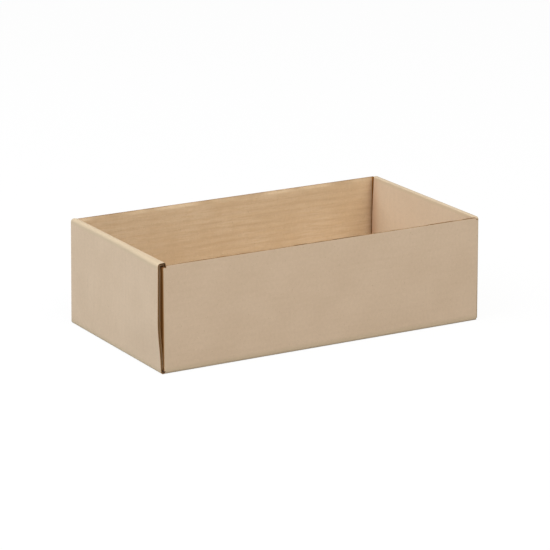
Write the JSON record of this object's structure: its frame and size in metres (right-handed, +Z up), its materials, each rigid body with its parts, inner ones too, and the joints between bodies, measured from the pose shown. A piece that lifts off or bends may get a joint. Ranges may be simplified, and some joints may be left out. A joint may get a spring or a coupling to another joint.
{
  "type": "cardboard tray box",
  "caption": "Open tray box folded from one die-cut corrugated sheet, with roll-over double end walls that lock into the base and hold the corner flaps.",
  "frame": {"origin": "middle of the base's underside, on the surface that the tray stands on", "axes": "+X along the tray's length, towards one double end wall; +Y across it, towards a single side wall; +Z up, out of the open top"},
  "size_m": [0.308, 0.167, 0.0927],
  "materials": {
    "kraft_board": "plain unprinted kraft liner on single-wall corrugated board, matt, with open flutes at the cut edges"
  },
  "bodies": {
    "root": {"folded_tray": "kraft_board"}
  },
  "joints": []
}
